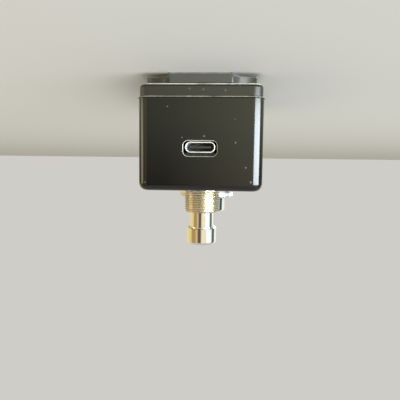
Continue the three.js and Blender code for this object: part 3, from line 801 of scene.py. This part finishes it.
def make_cover_screws():
    for index in range(1, 5):
        node = f"cover_screw_{index}"
        low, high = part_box(node)
        centre = (low + high) / 2
        base = low.z / MM
        screw = turned(f"cover_screw_head_{index}", [
            (0, base), (2.4, base), (2.68, base + 0.08), (2.75, base + 0.25), (1.45, base + 1.6),
            (1.4, high.z / MM - 0.8), (0.8, high.z / MM), (0, high.z / MM)],
            (centre.x, centre.y), closed=False, count=48)
        for turn in (0, math.pi / 2):
            blade = loft("blade", [
                rounded_rectangle(3.4 * MM, 0.72 * MM, 0.1 * MM, -0.5 * MM, 2),
                rounded_rectangle(1.5 * MM, 0.5 * MM, 0.1 * MM, 1.1 * MM, 2)])
            blade.data.transform(Matrix.Translation((centre.x, centre.y, low.z))
                                 @ Matrix.Rotation(turn + 0.4 * index, 4, "Z"))
            boolean(screw, blade)
        stands_for(screw, node)


# ---------------------------------------------------------------- threads, nuts and washers

def threaded(name, radius, pitch, start, end, bore, count=ROUND):
    """A bushing with a real helical thread from start to end, in millimetres about Z."""
    steps = 8
    depth = 0.55 * pitch
    rows = int((end - start) / pitch * steps) + 2 * steps
    vertices, faces = [], []

    def profile(step):
        share = (step % steps) / steps
        wave = 1 - abs(2 * share - 1)
        return radius - depth * min(max((0.88 - wave) / 0.76, 0), 1)

    for row in range(rows + 1):
        for i in range(count):
            z = start - pitch + row * pitch / steps + pitch * i / count
            r = profile(row)
            r = min(r, radius - max(0, z - (end - 0.45)), radius - max(0, start + 0.3 - z) * 0.8)
            z = min(max(z, start), end)
            vertices.append(polar(r, i / count, z))
    for row in range(rows):
        for i in range(count - 1):
            a = row * count + i
            faces.append((a, a + 1, a + 1 + count, a + count))
        a = row * count + count - 1
        b = (row + steps) * count
        if row + steps + 1 <= rows:
            faces.append((a, b, b + count, a + count))
    first = len(vertices)
    ends = [(radius - 0.45 - 0.02, end), (bore + 0.25, end), (bore, end - 0.25), (bore, start)]
    for r, z in ends:
        vertices += [polar(r, i / count, z) for i in range(count)]
    for ring in range(len(ends) - 1):
        for i in range(count):
            j = (i + 1) % count
            a, b = first + ring * count, first + (ring + 1) * count
            faces.append((a + i, a + j, b + j, b + i))
    return mesh_object(name, vertices, faces)


def polar(radius, turn, z):
    angle = 2 * math.pi * turn
    return Vector((radius * MM * math.cos(angle), radius * MM * math.sin(angle), z * MM))


def hex_nut(name, flats, hole, low, high):
    """A hexagon nut with two corners on X, chamfered on both faces, in millimetres about Z."""
    flat = flats / 2
    chamfer = math.tan(math.radians(30))

    def reach(i):
        return flat / math.cos(math.fmod(2 * math.pi * i / ROUND, math.pi / 3) - math.pi / 6)

    def ring(radius_of, z_of):
        points = []
        for i in range(ROUND):
            radius = radius_of(i)
            points.append(polar(radius, i / ROUND, z_of(radius)))
        return points

    def share(t):
        return lambda i: flat * 0.97 + (reach(i) - flat * 0.97) * t

    def top(radius):
        return high - max(0, radius - flat * 0.97) * chamfer

    def bottom(radius):
        return low + max(0, radius - flat * 0.97) * chamfer

    rings = [ring(lambda i: hole, lambda r: low + 0.25), ring(lambda i: hole, lambda r: high - 0.25),
             ring(lambda i: hole + 0.25, lambda r: high)]
    rings += [ring(share(t), top) for t in (0, 0.35, 0.7, 0.95)]
    rings += [ring(share(1), lambda r: top(r) - 0.06), ring(share(1), lambda r: bottom(r) + 0.06)]
    rings += [ring(share(t), bottom) for t in (0.95, 0.7, 0.35, 0)]
    rings.append(ring(lambda i: hole + 0.25, lambda r: low))
    return loft(name, rings, closed=True)


def washer(name, inner, outer, low, high, edge=0.12):
    return turned(name, [(inner, low), (outer - edge, low), (outer, low + edge), (outer, high - edge),
                         (outer - edge, high), (inner, high)], (0, 0))


def move(target, matrix):
    target.data.transform(matrix)
    return target


# ---------------------------------------------------------------- footswitch

def make_footswitch():
    axis = centre_of("footswitch_plunger")
    place = Matrix.Translation((axis.x, axis.y, 0))
    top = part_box("footswitch_bushing")[1].z / MM
    face = FACE / MM
    bushing = threaded("footswitch_thread", 6, 0.75, face - 2, top, 4.15)
    stands_for(move(bushing, place), "footswitch_bushing", smooth_angle=50)
    bushing.data.materials[0] = thread_material(axis, 6 * MM)
    nut_low, nut_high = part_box("footswitch_nut")
    nut_radius = (nut_high.x - nut_low.x) / 2 / MM
    nut = washer("footswitch_ring_nut", 6.02, nut_radius, face, nut_high.z / MM, 0.16)
    slots = loft("slots", [rounded_rectangle(20 * MM, 1.2 * MM, 0.1 * MM, z * MM)
                           for z in (face - 1, face + 3)])
    middle = turned("middle", [(nut_radius - 0.5, face - 2), (nut_radius - 0.5, face + 4)], (0, 0),
                    closed=False)
    boolean(slots, middle)
    slots.data.transform(Matrix.Rotation(math.radians(135), 4, "Z"))
    boolean(nut, slots)
    stands_for(move(nut, place), "footswitch_nut", smooth_angle=25)

    low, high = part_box("footswitch_plunger")
    tip, crown = low.z / MM, high.z / MM
    cap = crown - 5.8
    radius = 5.0
    edge = 1.1
    stem, groove, shaft = 2.3, 1.8, 4
    groove_low, groove_high, shoulder = 31.25, 31.95, 40.2
    profile = [(0, tip), (stem - 0.4, tip), (stem, tip + 0.4), (stem, groove_low),
               (groove, groove_low), (groove, groove_high), (stem, groove_high), (stem, shoulder),
               (shaft - 0.1, shoulder), (shaft, shoulder + 0.1), (shaft, cap - 0.12),
               (shaft + 0.06, cap), (radius - 0.14, cap), (radius, cap + 0.14),
               (radius, crown - edge - 0.06)]
    profile += [(radius - inset, crown - edge - 0.06 + rise) for inset, rise in rounded_edge(edge, 12)]
    profile += [(radius - 2.6, crown - 0.02), (0, crown)]
    plunger = turned("footswitch_button", profile, (0, 0), closed=False)
    stands_for(move(plunger, place), "footswitch_plunger")


# ---------------------------------------------------------------- level knob

def make_knob():
    axis = centre_of("level_knob_grip")
    place = Matrix.Translation((axis.x, axis.y, 0))
    low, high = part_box("level_knob_skirt")
    base, step = low.z / MM, high.z / MM
    flutes = 72
    count = flutes * 6

    def fluted(radius, z, depth):
        points = []
        for i in range(count):
            groove = depth * max(0, math.cos(2 * math.pi * i * flutes / count)) ** 2
            points.append(polar(radius - groove, i / count, z))
        return points

    rings = [fluted(10.2, base, 0), fluted(12.75, base, 0), fluted(12.9, base + 0.15, 0),
             fluted(12.9, base + 0.7, 0), fluted(12.7, base + 1.3, 0), fluted(12.2, base + 2.2, 0),
             fluted(11.95, base + 3.1, 0), fluted(11.9, base + 3.4, 0), fluted(11.9, base + 3.6, 0.28),
             fluted(11.9, step - 0.7, 0.28), fluted(11.85, step - 0.5, 0), fluted(11.6, step - 0.15, 0),
             fluted(11.2, step, 0), fluted(8.6, step, 0), fluted(8.5, step - 0.12, 0),
             fluted(6.95, step - 0.12, 0), fluted(6.95, step - 2.05, 0), fluted(10.2, step - 2.05, 0)]
    skirt = loft("level_knob_base", rings, closed=True)
    stands_for(move(skirt, place), "level_knob_skirt", smooth_angle=28)

    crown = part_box("level_knob_grip")[1].z / MM
    radius = 8.15
    profile = [(6.8, step - 2.1), (6.8, step + 0.03), (radius - 0.25, step + 0.03),
               (radius, step + 0.3), (radius - 0.1, crown - 1)]
    profile += [(radius - 0.1 - inset, crown - 1 + rise) for inset, rise in rounded_edge(1, 8)]
    profile += [(6.2, crown - 0.02), (5.9, crown - 0.16), (0, crown - 0.16)]
    grip = turned("level_knob_cap", profile + [(0, step - 2.1)], (0, 0), closed=True)
    slot = loft("slot", [rounded_rectangle(1.1 * MM, 6.8 * MM, 0.5 * MM, z * MM) for z in
                         (crown - 0.45, crown + 1)])
    slot.data.transform(Matrix.Translation((0, 4.9 * MM, 0)))
    boolean(grip, slot)
    stands_for(move(grip, place), "level_knob_grip")

    pointer = loft("level_knob_line", [rounded_rectangle(1.06 * MM, 6.3 * MM, 0.48 * MM, z * MM)
                                       for z in (crown - 0.5, crown - 0.1)])
    pointer.data.transform(Matrix.Translation((0, 4.65 * MM, 0)))
    bevel(pointer, 0.08 * MM, 2)
    stands_for(move(pointer, place), "level_knob_pointer")


# ---------------------------------------------------------------- light, sockets

def make_status_light():
    axis = centre_of("status_led")
    place = Matrix.Translation((axis.x, axis.y, 0))
    face = FACE / MM
    bezel = turned("status_light_ring", [
        (1.6, face - 2.4), (2.25, face - 2.4), (2.25, face), (3.0, face), (3.1, face + 0.1),
        (3.1, face + 0.45), (2.95, face + 0.68), (2.65, face + 0.86), (2.2, face + 0.9),
        (1.75, face + 0.78), (1.6, face + 0.6)], (0, 0))
    stands_for(move(bezel, place), "status_led_bezel")
    dome = [(1.5 * math.cos(a * math.pi / 20), face - 0.3 + 1.5 * math.sin(a * math.pi / 20))
            for a in range(11)]
    lens = turned("status_light_lens", [(0, face - 4.6), (1.9, face - 4.6), (1.9, face - 3.6),
                                        (1.5, face - 3.6), *dome[:-1], (0, face + 1.2)], (0, 0),
                  closed=False, count=48)
    stands_for(move(lens, place), "status_led")


def make_usb():
    low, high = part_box("usb_c_shell")
    centre = (low + high) / 2
    width, height, depth = high.x - low.x, high.z - low.z, high.y - low.y
    radius = height / 2 - 0.12 * MM
    wall = 0.3 * MM
    lip = wall / 2
    to_end = (Matrix.Translation((centre.x, low.y, centre.z)) @ Matrix.Rotation(-math.pi / 2, 4, "X"))

    def tube(inset, z):
        return rounded_rectangle(width - 2 * inset, height - 2 * inset, radius - inset, z, 12)

    shell = loft("usb_shell", [
        tube(0, depth), *[tube(lip - lip * math.cos(a), lip - lip * math.sin(a))
                          for a in (0, 0.4, 0.8, 1.2, math.pi / 2, 1.94, 2.34, 2.74, math.pi)],
        tube(wall, depth - wall)])
    stands_for(move(shell, to_end), "usb_c_shell")

    blade = loft("usb_tongue", [rounded_rectangle(w * MM, t * MM, t * MM / 2.2, z * MM, 4)
                                for w, t, z in ((6.3, 0.5, 0.65), (6.7, 0.7, 0.85), (6.7, 0.7, 5.1))])
    block = loft("block", [rounded_rectangle(8 * MM, 2.4 * MM, 0.9 * MM, z * MM, 6) for z in (5.1, 6.9)])
    boolean(blade, block, "UNION")
    stands_for(move(blade, to_end), "usb_c_tongue")
    contacts = bmesh.new()
    for side in (-1, 1):
        for i in range(12):
            x = (i - 5.5) * 0.5
            size = Matrix.Diagonal((0.26 * MM, 0.04 * MM, 3.4 * MM, 1))
            spot = Matrix.Translation(Vector((x, side * 0.35, 3.1)) * MM)
            bmesh.ops.create_cube(contacts, size=1, matrix=spot @ size)
    mesh = bpy.data.meshes.new("usb_contacts")
    contacts.to_mesh(mesh)
    contacts.free()
    strip = bpy.data.objects.new("usb_contacts", mesh)
    bpy.context.collection.objects.link(strip)
    added(move(strip, to_end), HOUSING, "contact_brass")


def make_jacks():
    for side, turn in (("right", math.pi / 2), ("left", -math.pi / 2)):
        axis = centre_of(f"jack_{side}_bushing")
        place = (Matrix.Translation((0, axis.y, axis.z)) @ Matrix.Rotation(turn, 4, "Y"))
        wall = (BODY_HIGH.x - RIM_PROUD) / MM
        bushing = threaded(f"jack_{side}_thread", 4.7, 0.75, wall - 2.2, wall + 2.9, 3.25)
        stands_for(move(bushing, place), f"jack_{side}_bushing", smooth_angle=50)
        ring = washer(f"jack_{side}_ring", 4.8, 6.9, wall + 0.02, wall + 0.52)
        stands_for(move(ring, place), f"jack_{side}_washer")
        nut = hex_nut(f"jack_{side}_hexagon", 12, 4.8, wall + 0.54, wall + 2.42)
        stands_for(move(nut, place), f"jack_{side}_nut", smooth_angle=25)


make_camera()
make_stage()
finish_cad_nodes()
make_housing()
make_cover()
make_pad()
make_cover_screws()
make_footswitch()
make_knob()
make_status_light()
make_usb()
make_jacks()
